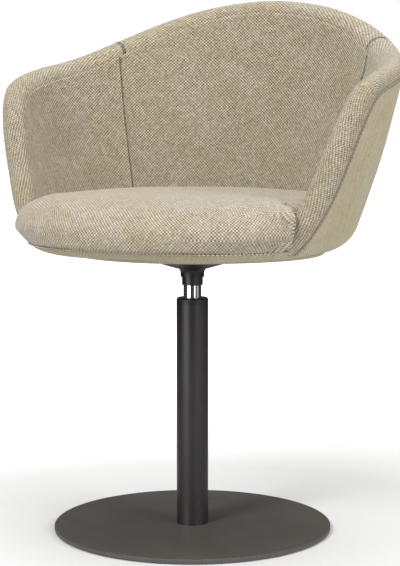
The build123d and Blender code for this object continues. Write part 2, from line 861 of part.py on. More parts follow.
def cushion_outline(height, drawn):
    """Right half of the cushion in plan: inside the walls behind, out to the shell's edge ahead of them.

    The crown draws the nose in by a share of its full reach, and the sides and back later and less.
    """
    held = drawn**crown_squareness
    level = min(height, crown_start)
    side, back, front = tub_reaches(height, wall_thickness + seat_gap)
    nose_side, _, nose = tub_reaches(level, seat_gap)
    side = side - crown_sides * held
    back = back - crown_back * held
    front = front - crown_front * drawn
    nose_side = nose_side - crown_sides * drawn
    nose = nose - crown_front * drawn
    inside = curve_part(front_quarter(side, front, fullness_at(level)), 0, wall_share)
    outside = curve_part(front_quarter(nose_side, nose, fullness_at(level)), nose_share, 1)
    with BuildSketch(Plane.XY.offset(height)) as plan:
        with BuildLine():
            Bezier((0, back), (back_fullness * side, back), (side, back_fullness * back), (side, 0))
            Bezier(*inside)
            Line(inside[-1], outside[0])
            Bezier(*outside)
            Line((0, -nose), (0, back))
        make_face()
    return plan.sketch


with BuildPart() as seat_cushion:
    for height in (cushion_foot, crown_start):
        add(cushion_outline(height, 0))
    loft(ruled=True)
    for step in crown_steps:
        turn = radians(step)
        add(cushion_outline(crown_start + crown_height * sin(turn), 1 - cos(turn)))
    loft()
    mirror(about=Plane.YZ)
save(seat_cushion.part, "seat_cushion")
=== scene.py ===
# %% [markdown]
# Pedestal swivel armchair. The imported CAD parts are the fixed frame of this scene: the metal column, the
# gas lift and the mechanism keep their CAD shapes and only get finishes. Everything that is upholstered
# is built here as fabric skins from the same formulas as the parts, in the same place. The work goes
# frame, camera, shape of the tub, covers, cushion, seams, finishes, lights.

import math

import bmesh
import bpy
import numpy as np
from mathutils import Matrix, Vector


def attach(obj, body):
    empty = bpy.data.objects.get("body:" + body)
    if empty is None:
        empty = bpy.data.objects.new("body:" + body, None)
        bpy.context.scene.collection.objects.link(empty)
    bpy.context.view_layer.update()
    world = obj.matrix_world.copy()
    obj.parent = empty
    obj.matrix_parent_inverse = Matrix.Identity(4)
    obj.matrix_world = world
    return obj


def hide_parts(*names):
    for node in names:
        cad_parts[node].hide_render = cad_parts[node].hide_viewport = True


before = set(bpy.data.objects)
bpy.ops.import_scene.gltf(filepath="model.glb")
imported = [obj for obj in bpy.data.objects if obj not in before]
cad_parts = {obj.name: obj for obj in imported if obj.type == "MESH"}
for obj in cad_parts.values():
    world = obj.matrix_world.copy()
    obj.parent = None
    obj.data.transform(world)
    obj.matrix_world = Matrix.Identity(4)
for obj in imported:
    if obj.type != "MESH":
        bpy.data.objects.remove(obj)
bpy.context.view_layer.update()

# %% [markdown]
# The camera stands where the photographer stood: 27 degrees round towards the sitter's left, 2.56 m from
# the column, at 0.67 m height and looking 6.2 degrees down. A long lens, 104 mm on a 36 mm sensor, gives
# the flat perspective. These numbers were found by matching the disc's ellipse and the column's ends.

# %% Camera
MM = 0.001
camera_azimuth = math.radians(27)
camera_distance = 2.564
camera_height = 0.673
camera_pitch = math.radians(6.24)
camera_yaw = math.radians(0.268)
camera_lens = 104.12


def add_object(name, data):
    """A new object in the scene that holds some data."""
    made = bpy.data.objects.new(name, data)
    bpy.context.scene.collection.objects.link(made)
    return made


camera_data = bpy.data.cameras.new("photo_camera")
camera_data.lens = camera_lens
camera_data.sensor_width = 36
camera_data.clip_end = 100
camera = add_object("photo_camera", camera_data)
camera.location = (
    camera_distance * math.sin(camera_azimuth),
    -camera_distance * math.cos(camera_azimuth),
    camera_height,
)
camera.rotation_euler = (math.pi / 2 - camera_pitch, 0, camera_azimuth - camera_yaw)
bpy.context.scene.camera = camera
print("camera at", tuple(round(v, 3) for v in camera.location))

# %% [markdown]
# The tub is one smooth form: its plan outline is made of four cubic curves, and its half width and its
# reach behind grow with height. The rim is a line that climbs steeply up the front of each arm, runs
# level along it and rises to the middle of the back. Everything upholstered is a sheet on this form,
# drawn in by some distance, so the form comes first, in millimetres.

# %% Form of the tub
shell_bottom = 446
blank_height = 434
nose_top = 459.5
side_at_floor, side_at_top, side_swell = 244, 345, 1.7
back_at_floor, back_at_top, back_swell = 214, 306, 1.5
front_reach = 255
wall_thickness = 40
bottom_round = 60
back_fullness = 0.6
front_fullness = 0.86
nose_fullness = 0.5
nose_rise = 100
arm_end = 60
# the rim over an arm: place along the chair, height, lean; behind: turn in plan, height
arm_rim = [
    (-137, 440, 88), (-127, 490, 80), (-106, 560, 76), (-84, 640, 72), (-58, 690, 44), (-22, 714, 10),
    (60, 735, 10),
]
back_rim = [(0, 735), (15, 753), (30, 782), (45, 811), (60, 832), (75, 843), (90, 847)]


def reaches(z, inset):
    """Half width and reach behind and in front at a height, drawn in by an inset."""
    rest = np.clip(1 - (z - shell_bottom) / blank_height, 0, 1)
    side = side_at_top - (side_at_top - side_at_floor) * rest**side_swell
    back = back_at_top - (back_at_top - back_at_floor) * rest**back_swell
    return side - inset, back - inset, front_reach - inset


def fullness_at(z):
    """How square the front corners are at a height: well rounded at the floor of the tub, squarer above."""
    rest = np.clip(1 - (z - shell_bottom) / nose_rise, 0, 1)
    return front_fullness - (front_fullness - nose_fullness) * rest**2


def plan_point(way, z, inset):
    """Point of the outline: way runs from 0 at the middle of the back over 1 at the side to 2 at the nose."""
    side, back, front = reaches(z, inset)
    turn = 1 - np.abs(way)
    t = np.abs(turn)
    full = np.where(turn > 0, back_fullness, fullness_at(z))
    reach = np.where(turn > 0, back, -front)
    w0, w1, w2, w3 = (1 - t) ** 3, 3 * t * (1 - t) ** 2, 3 * t**2 * (1 - t), t**3
    x = side * (w0 + w1 + full * w2)
    y = reach * (full * w1 + w2 + w3)
    return np.where(way < 0, -x, x), y


def smooth_curve(points, count):
    """Points along a Catmull-Rom curve through a list of points."""
    p = np.array(points, float)
    p = np.vstack([2 * p[0] - p[1], p, 2 * p[-1] - p[-2]])
    out = []
    for i in range(1, len(p) - 2):
        for t in np.linspace(0, 1, count, endpoint=False):
            a, b, c, d = p[i - 1], p[i], p[i + 1], p[i + 2]
            bend = (2 * a - 5 * b + 4 * c - d) * t**2 + (3 * b - a - 3 * c + d) * t**3
            out.append(0.5 * (2 * b + (c - a) * t + bend))
    out.append(p[-2])
    return np.array(out)


arm_line = smooth_curve(arm_rim, 24)
back_line = smooth_curve([(-15, 733)] + back_rim + [(105, 843)], 12)
print("rim heights", arm_line[:, 1].min(), back_line[:, 1].max())


def rim_height(x, y, drop):
    """Height of the rim over a plan point, measured along a line that lies a drop below the edge."""
    lean = np.radians(arm_line[:, 2])
    line_y = arm_line[:, 0] + drop * np.sin(lean)
    line_z = arm_line[:, 1] - drop * np.cos(lean)
    arm_z = np.interp(y, line_y, line_z, left=0)
    angle = np.degrees(np.arctan2(y - arm_end, np.abs(x)))
    back_z = np.interp(angle, back_line[:, 0], back_line[:, 1]) - drop
    return np.where(y < arm_end, arm_z, back_z)


def wall_top(way, inset, drop):
    """Height at which a line up the wall meets the rim, lowered by a drop, or the nose's top in front."""
    low = np.full_like(way, nose_top)
    high = np.full_like(way, shell_bottom + blank_height)
    for _ in range(30):
        z = (low + high) / 2
        x, y = plan_point(way, z, inset)
        below = z < rim_height(x, y, drop)
        low = np.where(below, z, low)
        high = np.where(below, high, z)
    return (low + high) / 2


def reach_along(start, angle, z, inset):
    """Distance from (0, start) to the outline in a direction."""
    low, high = np.full_like(z, 0.0), np.full_like(z, 2.0)
    for _ in range(34):
        way = (low + high) / 2
        x, y = plan_point(way, z, inset)
        ahead = (y - start) * np.cos(angle) < x * np.sin(angle)
        high = np.where(ahead, way, high)
        low = np.where(ahead, low, way)
    return np.hypot(x, y - start)


# %% [markdown]
# A sheet is a grid of points. It becomes a mesh with two texture directions laid along the cloth, in
# metres, so the weave keeps its real size all over. A thickness is added behind it, as a cover has one.

# %% Sheets of cloth
def smooth_shaded(mesh):
    mesh.polygons.foreach_set("use_smooth", [True] * len(mesh.polygons))


def grid_mesh(name, grid, across, along, thickness=2.5, flip=False):
    """A mesh from a grid of points in millimetres, with cloth directions in metres."""
    rows, columns, _ = grid.shape
    vertices = (grid.reshape(-1, 3) * MM).tolist()
    faces = []
    for r in range(rows - 1):
        for c in range(columns - 1):
            a = r * columns + c
            face = (a, a + 1, a + 1 + columns, a + columns)
            faces.append(tuple(reversed(face)) if flip else face)
    mesh = bpy.data.meshes.new(name)
    mesh.from_pydata(vertices, [], faces)
    layer = mesh.uv_layers.new(name="cloth")
    uv = np.stack([across.ravel(), along.ravel()], axis=1) * MM
    index = np.array([loop.vertex_index for loop in mesh.loops])
    layer.data.foreach_set("uv", uv[index].ravel().astype(np.float32))
    smooth_shaded(mesh)
    made = add_object(name, mesh)
    if thickness:
        solid = made.modifiers.new("thickness", "SOLIDIFY")
        solid.thickness = thickness * MM
        solid.offset = -1
    return made


def join_rings(shape, rings):
    """Faces between closed rings of points, each with the next."""
    for low, high in zip(rings, rings[1:]):
        for i in range(len(low)):
            j = (i + 1) % len(low)
            shape.faces.new((low[i], low[j], high[j], high[i]))


def finished_mesh(shape, name):
    """The mesh of a shape that was built point by point."""
    mesh = bpy.data.meshes.new(name)
    shape.to_mesh(mesh)
    shape.free()
    return mesh


def run_length(points):
    """Distance along a line, or along each line of a grid, from its first point."""
    steps = np.linalg.norm(np.diff(points, axis=0), axis=-1)
    return np.concatenate([np.zeros((1,) + steps.shape[1:]), np.cumsum(steps, axis=0)])


def middle_row(grid):
    return grid[grid.shape[0] // 2]


def ripples(a, b, seed, wave):
    """Smooth unevenness, from -1 to 1, made of a few crossed waves."""
    rng = np.random.default_rng(seed)
    total = np.zeros(np.broadcast(a, b).shape)
    for _ in range(7):
        direction = rng.uniform(0, math.pi)
        length = wave * rng.uniform(0.6, 1.6)
        phase = rng.uniform(0, 2 * math.pi)
        total += np.sin((a * math.cos(direction) + b * math.sin(direction)) * 2 * math.pi / length + phase)
    return total / 7


# %% [markdown]
# The outer cover is stretched over a stiff shell, so it is smooth, but not perfect: it swells by a
# millimetre at most between the places where it is held. Below, it turns under the tub in a round
# of 60 mm. A separate front band, sewn on under the seat's nose, closes the front.

# %% Outer cover and front band
lean_probe = 12
turned_under = 0.86


def outer_inset(way, z):
    """How far the wall is drawn in near the floor of the tub, by the round at the bottom."""
    foot = np.full_like(way, shell_bottom, dtype=float)
    x0, y0 = plan_point(way, foot, 0.0)
    x1, y1 = plan_point(way + 0.002, foot, 0.0)
    tangent = np.stack([x1 - x0, y1 - y0], axis=-1)
    tangent /= np.linalg.norm(tangent, axis=-1, keepdims=True)

    def outward(x, y):
        return np.abs((x - x0) * tangent[..., 1] - (y - y0) * tangent[..., 0])

    lean = np.arctan(outward(*plan_point(way, foot + lean_probe, 0.0)) / lean_probe)
    per_unit = outward(*plan_point(way, foot, 1.0))
    setback = bottom_round * np.tan((math.pi / 2 - lean) / 2)
    height = bottom_round * (1 - np.sin(lean))
    depth = np.clip(z - shell_bottom, 0, height)
    arc = np.sqrt(np.maximum(bottom_round**2 - (bottom_round - depth) ** 2, 0)) - setback
    return np.where(z < shell_bottom + height, depth * np.tan(lean) - arc, 0.0) / per_unit


def outer_grid(way, top, rows, puff):
    """Grid of the outside between the underside and a top line."""
    share = np.linspace(0, 1, rows)[:, None]
    z = shell_bottom + (top - shell_bottom)[None, :] * share**1.35
    ways = np.broadcast_to(way[None, :], z.shape)
    x, y = plan_point(ways, z, outer_inset(ways, z) - puff(ways, z))
    grid = np.stack([x, y, z], axis=-1)
    inward = np.stack([x[0] * turned_under, y[0] * turned_under, np.full_like(x[0], shell_bottom)], axis=-1)
    return np.concatenate([inward[None], grid])


def cloth_directions(grid):
    """Cloth coordinates of a grid: round the tub, and up it."""
    round_length = run_length(middle_row(grid))
    return np.broadcast_to(round_length[None, :], grid.shape[:2]), run_length(grid)


seam_drop = 22
band_way = 1.378
half_way = np.concatenate([np.linspace(0, 1.1, 150), np.linspace(1.1, band_way, 110)[1:]])
cover_way = np.concatenate([-half_way[::-1], half_way[1:]])


def cover_puff(way, z):
    return 0.7 * ripples(way * 330, z, 3, 150) + 0.25 * ripples(way * 330, z, 4, 45)


cover_top = wall_top(cover_way, 0.0, seam_drop)
cover_grid = outer_grid(cover_way, cover_top, 90, cover_puff)
outer_fabric = grid_mesh("outer_fabric", cover_grid, *cloth_directions(cover_grid), flip=True)
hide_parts("outer_cover")
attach(outer_fabric, "seat")
print("outer cover from", cover_grid[..., 2].min(), "to", cover_grid[..., 2].max())

band_half = np.linspace(band_way + 0.004, 2, 90)
for_band = np.concatenate([band_half, 4 - band_half[::-1][1:]])
band_side = np.where(for_band > 2, -(4 - for_band), for_band)
band_grid = outer_grid(band_side, np.full_like(band_side, nose_top - 0.7), 14, lambda way, z: 0.4 + 0 * z)
front_cloth = grid_mesh("front_band_fabric", band_grid, *cloth_directions(band_grid), flip=True)
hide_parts("front_band")
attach(front_cloth, "seat")
print("front band depth", round(nose_top - shell_bottom, 1), "mm")

# %% [markdown]
# The inner cover starts at a dark seam on the outside, 22 mm below the edge, rolls over the foam rim in a
# full round and goes down inside to the seat. Two upright seams divide it into a back and two arms. The
# roll follows planes square to the edge; the wall below follows upright lines, and both meet 20 mm down.

# %% Stations round the rim
def rim_stations():
    """Start, direction, height and lean of the section planes, right arm's foot to the middle of the back."""
    arms = [(y, z, lean, 0.0) for y, z, lean in arm_line[:-1]]
    turn = np.linspace(0, 90, 70)
    heights = np.interp(turn, back_line[:, 0], back_line[:, 1])
    lean_at_end = arm_line[-1, 2] * np.clip(1 - turn / 12, 0, 1)
    backs = [(arm_end, z, lean, a) for a, z, lean in zip(turn, heights, lean_at_end)]
    return np.array(arms + backs)


def wall_section(start, z, lean, angle, drop, inset):
    """Points of the wall a drop below the edge, for arrays of stations."""
    tilt = np.radians(lean)
    y0 = start + drop * np.sin(tilt)
    height = z - drop * np.cos(tilt)
    turned = np.radians(angle)
    reach = reach_along(y0, turned, height, inset)
    return np.stack([reach * np.cos(turned), y0 + reach * np.sin(turned), height], axis=-1)


stations = rim_stations()
stations = stations[stations[:, 1] > nose_top - 4]
roll_steps = 26
roll_rise = 20
# the roll goes from 0 to 1; the steps beside it carry the cloth to the outer seam and down the wall
roll_sweep = np.concatenate([[-0.28, -0.14], np.linspace(0, 1, roll_steps), [1.1, 1.2]])


def roll_grid():
    """The roll from the outer seam over the edge to the inside, on the right half."""
    rows = []
    half = wall_thickness / 2
    for place in roll_sweep:
        if place < 0:
            drop, inset = roll_rise - place / 0.14, 0.0
        elif place > 1:
            drop, inset = roll_rise + (place - 1) * 12, wall_thickness - (place - 1) * 4
        else:
            turn = place * math.pi
            drop, inset = roll_rise * (1 - math.sin(turn)), half * (1 - math.cos(turn))
        rows.append(wall_section(*stations.T, drop, inset))
    return np.array(rows)


def mirrored(grid):
    """Both halves of a right-half grid whose last column is the middle of the back."""
    other = grid[:, ::-1].copy()
    other[..., 0] *= -1
    return np.concatenate([grid, other[:, 1:]], axis=1)


roll = mirrored(roll_grid())
print("rim roll grid", roll.shape, "height", roll[..., 2].max())

# %% Inner wall below the roll
inner_foot = 456.0
inner_half = np.concatenate([np.linspace(0, 1.0, 130), np.linspace(1.0, 1.44, 110)[1:]])
inner_way = np.concatenate([-inner_half[::-1], inner_half[1:]])
inner_top = wall_top(inner_way, wall_thickness, roll_rise)
share = np.linspace(0, 1, 70)[:, None]
inner_z = inner_foot + (inner_top - inner_foot)[None, :] * share
inner_ways = np.broadcast_to(inner_way[None, :], inner_z.shape)


seam_turn, seam_start = math.radians(42.6), 35


def seam_offset(x, y):
    """Distance in plan from the upright seams: above 0 on the back's side, below 0 on the arms' side."""
    return -np.abs(x) * math.sin(seam_turn) + (y + seam_start) * math.cos(seam_turn)


inner_x, inner_y = plan_point(inner_ways, inner_z, wall_thickness)
stitch_pull = np.exp(-((seam_offset(inner_x, inner_y) / 3) ** 2))
wide_pull = np.exp(-((seam_offset(inner_x, inner_y) / 16) ** 2))
padding = 1.6 * ripples(inner_ways * 300, inner_z, 11, 120) + 0.5 * ripples(inner_ways * 300, inner_z, 12, 40)
padding = padding * (1 - wide_pull) - 2.4 * stitch_pull - 1.2 * wide_pull
arm_front = np.interp(inner_z, arm_line[:, 1], arm_line[:, 0], right=-1000) + roll_rise
fade = np.clip(np.minimum(inner_top[None, :] - inner_z, inner_y - arm_front) / 40, 0, 1)
inner_x, inner_y = plan_point(inner_ways, inner_z, wall_thickness - padding * fade)
inner_grid = np.stack([inner_x, inner_y, inner_z], axis=-1)


# %% Cloth directions of the inner cover
cloth_per_height = 1.04


def wall_directions():
    """Cloth coordinates on the inner wall: round the tub from the middle of the back, and up."""
    round_length = run_length(middle_row(inner_grid))
    round_length -= np.interp(0, inner_way, round_length)
    return round_length, (inner_z - inner_foot) * cloth_per_height


def roll_directions(half_roll):
    """The same coordinates carried on over the roll, square to its edge, so that the weave runs through."""
    joint = wall_section(*stations.T, roll_rise, wall_thickness)
    trial = np.linspace(0, inner_way[-1], 600)
    joint_way = []
    for x, y, z in joint:
        px, py = plan_point(trial, np.full_like(trial, z), wall_thickness)
        joint_way.append(trial[np.argmin(np.hypot(px - x, py - y))])
    lean = np.radians(stations[:, 2])
    length = run_length(half_roll)
    over = length[roll_sweep == 1] - length
    across = np.interp(joint_way, inner_way, wall_round) + over * np.sin(lean)
    along = (joint[:, 2] - inner_foot) * cloth_per_height + over * np.cos(lean)
    return np.hstack([across, -across[:, -2::-1]]), np.hstack([along, along[:, -2::-1]])


wall_round, wall_along = wall_directions()
wall_across = np.broadcast_to(wall_round[None, :], wall_along.shape)
roll_across, roll_along = roll_directions(roll_grid())
print("inner cover is", round(float(np.ptp(wall_round))), "mm round")


# %% Three panels of the inner cover
def panel(name, node, keep_columns, roll_columns, others=()):
    """One panel of the inner cover: its wall and its stretch of the roll, in one object."""
    pieces = (
        ("wall", inner_grid, wall_across, wall_along, keep_columns),
        ("roll", roll, roll_across, roll_along, roll_columns),
    )
    objects = []
    for label, grid, across, along, columns in pieces:
        objects.append(grid_mesh(f"{name}_{label}", grid[:, columns], across[:, columns], along[:, columns]))
    bpy.ops.object.select_all(action="DESELECT")
    for made in objects:
        made.select_set(True)
    bpy.context.view_layer.objects.active = objects[0]
    bpy.ops.object.join()
    objects[0].name = name
    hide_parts(node, *others)
    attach(objects[0], "seat")
    return objects[0]


roll_x, roll_y, _ = middle_row(roll).T
wall_x, wall_y, _ = middle_row(inner_grid).T
roll_off = seam_offset(roll_x, roll_y)
wall_off = seam_offset(wall_x, wall_y)


def around(mask):
    """Column numbers of a mask, with one more at each end so that panels meet at the seam."""
    found = np.nonzero(mask)[0]
    return np.arange(max(found[0] - 1, 0), min(found[-1] + 2, len(mask)))


back_fabric = panel(
    "back_fabric", "back_panel",
    around(wall_off > 0), around(roll_off > 0), ["rim_roll"],
)
sides = ((1, "left"), (-1, "right"))
arm_fabrics = [
    panel(
        f"{side_name}_arm_fabric", f"{side_name}_arm_panel",
        around((wall_off <= 0) & (wall_x * sign > 0)), around((roll_off <= 0) & (roll_x * sign > 0)),
    )
    for sign, side_name in sides
]
print("inner cover in 3 panels")

# %% [markdown]
# The bottom panel is a board in the same cloth. The cloth is pulled round the board's edge, so the edge is
# softly rounded and the middle is flat.

# %% Bottom panel
panel_side, panel_reach = 208, 190
panel_rings = [
    (1.0, 445.8), (1.0, 444.0), (0.995, 442.0), (0.985, 440.7), (0.97, 440.2), (0.75, 440.0), (0.4, 440.0),
]
panel_way = np.concatenate([np.linspace(0, 2, 120), -np.linspace(2, 0, 120)[1:]])
panel_rows = []
for size, height in panel_rings:
    px, py = plan_point(panel_way, np.full_like(panel_way, shell_bottom, dtype=float), 0.0)
    along = np.where(py > 0, panel_reach / back_at_floor, panel_reach / front_reach)
    across = panel_side / side_at_floor
    panel_rows.append(np.stack([px * across * size, py * along * size, np.full_like(px, height)], axis=-1))
panel_grid = np.array(panel_rows)
under_fabric = grid_mesh("bottom_fabric", panel_grid, *cloth_directions(panel_grid), thickness=1.5)
under_shape = bmesh.new()
under_shape.faces.new([under_shape.verts.new((p * MM).tolist()) for p in panel_grid[-1][:-1]])
under_middle = add_object("bottom_middle", finished_mesh(under_shape, "bottom_middle"))
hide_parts("bottom_panel")
for piece in (under_fabric, under_middle):
    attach(piece, "seat")
print("bottom panel", panel_grid[0, :, 0].max() * 2, "mm wide")

# %% [markdown]
# The seat cushion fills the tub's floor. It is crowned, pulls in towards the walls and rolls over the
# front edge down to the band. It starts as stacked outlines, slightly too small, and is then blown up as
# cloth over foam: remeshed evenly and put under pressure for twenty frames. Of that motion only the part
# that goes outwards is kept, evened out and at most a few millimetres, so that it swells but stays in its
# place between the walls.

# %% Cushion before it is filled
cushion_foot = 459.8
crown_start = 480
crown_height = 58
crown_sides = 190
crown_back = 95
crown_front = 150
crown_squareness = 3
wall_share = 0.41
nose_share = 0.32
corner_extra = 8
soft_gap = 0.3


def cubic(points, t):
    """Points on a cubic curve."""
    p = np.array(points, float)
    t = t[:, None]
    return (1 - t) ** 3 * p[0] + 3 * t * (1 - t) ** 2 * p[1] + 3 * t**2 * (1 - t) * p[2] + t**3 * p[3]


def cushion_ring(z, drawn, shrink):
    """Right half of the cushion's outline, from the middle of the back to the nose."""
    level = min(z, crown_start)
    held = drawn**crown_squareness
    full = float(fullness_at(level))
    side, back, front = (float(v) for v in reaches(z, wall_thickness + soft_gap + shrink))
    nose_side, _, nose = (float(v) for v in reaches(level, soft_gap + shrink))
    side, back, front = side - crown_sides * held, back - crown_back * held, front - crown_front * drawn
    nose_side, nose = nose_side - crown_sides * held, nose - crown_front * drawn
    around_back = [(0, back), (back_fullness * side, back), (side, back_fullness * back), (side, 0)]
    behind = cubic(around_back, np.linspace(0, 1, 40))
    ahead = [(side, 0), (side, -full * front), (full * side, -front), (0, -front)]
    nose_side += corner_extra
    beyond = [(nose_side, 0), (nose_side, -full * nose), (full * nose_side, -nose), (0, -nose)]
    inside = cubic(ahead, np.linspace(0, wall_share, 24))
    outside = cubic(beyond, np.linspace(nose_share, 1, 40))
    corner = inside[-1] + (outside[0] - inside[-1]) * np.linspace(0, 1, 10)[:, None]
    half = np.concatenate([behind, inside[1:], corner[1:], outside[1:]])
    other = half[::-1][1:-1] * np.array([-1, 1])
    loop = np.concatenate([half, other])
    return np.column_stack([loop, np.full(len(loop), z)])


def cushion_start(shrink):
    """The cushion as a closed mesh, drawn in all round by a shrink."""
    rings = [cushion_ring(cushion_foot + shrink * 0.3, 0.0, shrink + 1)]
    for z in np.linspace(cushion_foot + 2, crown_start, 6):
        rings.append(cushion_ring(z, 0.0, shrink))
    for turn in np.radians([8, 16, 24, 32, 40, 48, 56, 62, 68, 73, 77]):
        height = crown_start + (crown_height - shrink) * math.sin(turn)
        rings.append(cushion_ring(height, 1 - math.cos(turn), shrink))
    shape = bmesh.new()
    rows = [[shape.verts.new((p * MM).tolist()) for p in ring] for ring in rings]
    join_rings(shape, rows)
    for row, up in ((rows[0], -1), (rows[-1], 1)):
        middle = shape.verts.new((0, row[0].co.y / 2 - 0.03, row[0].co.z + (0.0012 if up > 0 else 0)))
        for i in range(len(row)):
            shape.faces.new((row[i], row[(i + 1) % len(row)], middle))
    bmesh.ops.recalc_face_normals(shape, faces=shape.faces)
    return add_object("cushion_fabric", finished_mesh(shape, "cushion_fabric"))


cushion = cushion_start(2.0)
print("cushion starts with", len(cushion.data.vertices), "points")

# %% Fill the cushion
voxel = 0.005
cushion_cap = 0.003
fold_softening = 24
filling_frames = 20
dimple_depth = 0.0011
edge_gap, wall_gap, arm_gap, arm_depth = 0.6, 1.0, 1.5, 16


def apply_all(target):
    """Make the modifiers' result the object's own mesh."""
    graph = bpy.context.evaluated_depsgraph_get()
    mesh = bpy.data.meshes.new_from_object(target.evaluated_get(graph))
    target.modifiers.clear()
    target.data = mesh


def vertex_places(target):
    """The places of an object's points, in metres."""
    return np.array([v.co[:] for v in target.data.vertices])


def move_points(target, places):
    for vertex, place in zip(target.data.vertices, places):
        vertex.co = place


remesh = cushion.modifiers.new("even", "REMESH")
remesh.mode = "VOXEL"
remesh.voxel_size = voxel
smooth = cushion.modifiers.new("smooth", "SMOOTH")
smooth.factor = 0.5
smooth.iterations = 3
apply_all(cushion)
before = vertex_places(cushion)
cloth = cushion.modifiers.new("filling", "CLOTH")
cloth.settings.quality = 5
cloth.settings.mass = 0.3
cloth.settings.tension_stiffness = 12
cloth.settings.compression_stiffness = 12
cloth.settings.bending_stiffness = 2
cloth.settings.use_pressure = True
cloth.settings.uniform_pressure_force = 5
cloth.settings.effector_weights.gravity = 0
cloth.point_cache.frame_start = 1
cloth.point_cache.frame_end = filling_frames
for step in range(1, filling_frames + 1):
    bpy.context.scene.frame_set(step)
apply_all(cushion)
bpy.context.scene.frame_set(1)
after = vertex_places(cushion)
moved = after - before
outward = np.array([n.vector[:] for n in cushion.data.vertex_normals])
rise = (moved * outward).sum(axis=1)
moved = outward * np.maximum(rise, 0)[:, None]
ends = np.array([edge.vertices[:] for edge in cushion.data.edges])
neighbours = np.bincount(ends.ravel(), minlength=len(moved))[:, None]
for _ in range(fold_softening):
    total = np.zeros_like(moved)
    np.add.at(total, ends[:, 0], moved[ends[:, 1]])
    np.add.at(total, ends[:, 1], moved[ends[:, 0]])
    moved = (moved + total / neighbours) / 2
length = np.linalg.norm(moved, axis=1)
limit = np.minimum(1, cushion_cap / np.maximum(length, 1e-9))
shaped = before + moved * limit[:, None]


def keep_clear(place):
    """Move points out of the walls, the arms and the band: they stay a millimetre or so clear of each."""
    x, y, z = np.abs(place[:, 0]) / MM, place[:, 1] / MM, np.maximum(place[:, 2] / MM, cushion_foot)
    angle = np.arctan2(y, x)
    reach = np.hypot(x, y)
    level = np.minimum(z, crown_start + 12)
    outer_reach = reach_along(0.0, angle, level, edge_gap)
    inner_reach = reach_along(0.0, angle, z, wall_thickness + wall_gap)
    arm_front = np.interp(z, arm_line[:, 1], arm_line[:, 0]) - arm_gap
    in_wall = (reach > inner_reach) & (y > arm_front)
    pushed = in_wall & (y > arm_front + arm_depth)
    limit = np.where(pushed, inner_reach, outer_reach)
    size = np.minimum(1, limit / np.maximum(reach, 1))
    out = place.copy()
    out[:, 0] *= size
    out[:, 1] *= size
    forward = in_wall & ~pushed
    out[forward, 1] = np.minimum(out[forward, 1], arm_front[forward] * MM)
    out[:, 2] = z * MM
    return out


shaped = keep_clear(shaped)
dimples = ripples(shaped[:, 0] / MM, shaped[:, 1] / MM, 21, 110)
top_share = np.clip((shaped[:, 2] / MM - 490) / 30, 0, 1)
shaped[:, 2] += dimples * dimple_depth * top_share
move_points(cushion, shaped)
subdivide = cushion.modifiers.new("finer", "SUBSURF")
subdivide.levels = 1
subdivide.render_levels = 1
soften = cushion.modifiers.new("soften", "SMOOTH")
soften.factor = 0.5
soften.iterations = 4
apply_all(cushion)
shaped = keep_clear(vertex_places(cushion))
move_points(cushion, shaped)
cushion.name = "cushion_fabric"
smooth_shaded(cushion.data)
print("cushion filled, moved at most", round(float((length * limit).max() * 1000), 1), "mm")


# %% Cloth directions on the cushion
def evenly(points, step):
    """Points at equal steps along a line."""
    lengths = run_length(points)
    marks = np.arange(0, lengths[-1], step)
    return np.column_stack([np.interp(marks, lengths, points[:, i]) for i in range(3)])


def lay_cloth(target):
    """Texture directions in metres: flat on top; round the outline and down on the slopes, sides and nose."""
    mesh = target.data
    place = vertex_places(target)
    loop_line = cushion_ring(crown_start, 0.0, 0.0)[:, :2] * MM
    loop_line = np.vstack([loop_line, loop_line[:1]])
    loop_line = evenly(np.column_stack([loop_line, np.zeros(len(loop_line))]), loop_step)[:, :2]
    nearest = np.linalg.norm(place[:, None, :2] - loop_line[None], axis=2).argmin(axis=1)
    step = (np.roll(loop_line, -1, axis=0) - np.roll(loop_line, 1, axis=0))[nearest]
    step /= np.linalg.norm(step, axis=1, keepdims=True)
    off = place[:, :2] - loop_line[nearest]
    along = nearest * loop_step + (off * step).sum(axis=1)
    drawn_in = np.linalg.norm(off - step * (off * step).sum(axis=1, keepdims=True), axis=1)
    height = place[:, 2] - crown_start * MM
    up = np.where(height > 0, np.hypot(height, drawn_in), height)
    flat_map = place[:, :2]
    edge_map = np.stack([along, up], axis=1)
    corners = np.array([loop.vertex_index for loop in mesh.loops])
    tilt = np.repeat([f.normal[2] for f in mesh.polygons], [f.loop_total for f in mesh.polygons])
    uv = np.where((tilt > edge_tilt)[:, None], flat_map[corners], edge_map[corners])
    layer = mesh.uv_layers.new(name="cloth")
    layer.data.foreach_set("uv", uv.ravel().astype(np.float32))


loop_step = 0.004
edge_tilt = 0.85
lay_cloth(cushion)
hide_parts("seat_cushion")
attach(cushion, "seat")

# %% [markdown]
# The seams are what makes an upholstered piece look sewn. Under the rim and over the front band a thin
# rolled welt lies where two cloths meet, with a row of separate stitches beside it. The upright seams are a
# thin cord of thread. All follow the same formulas as the cloths, so they lie on their edges.

# %% Seam cords and stitches
def tube_along(name, points, radius):
    """A slim round cord along points in millimetres, as a mesh."""
    curve = bpy.data.curves.new(name, "CURVE")
    curve.dimensions = "3D"
    curve.bevel_depth = radius * MM
    curve.bevel_resolution = 2
    spline = curve.splines.new("POLY")
    spline.points.add(len(points) - 1)
    spline.points.foreach_set("co", np.column_stack([points * MM, np.ones(len(points))]).ravel())
    source = add_object(name, curve)
    graph = bpy.context.evaluated_depsgraph_get()
    mesh = bpy.data.meshes.new_from_object(source.evaluated_get(graph))
    bpy.data.objects.remove(source)
    smooth_shaded(mesh)
    return add_object(name, mesh)


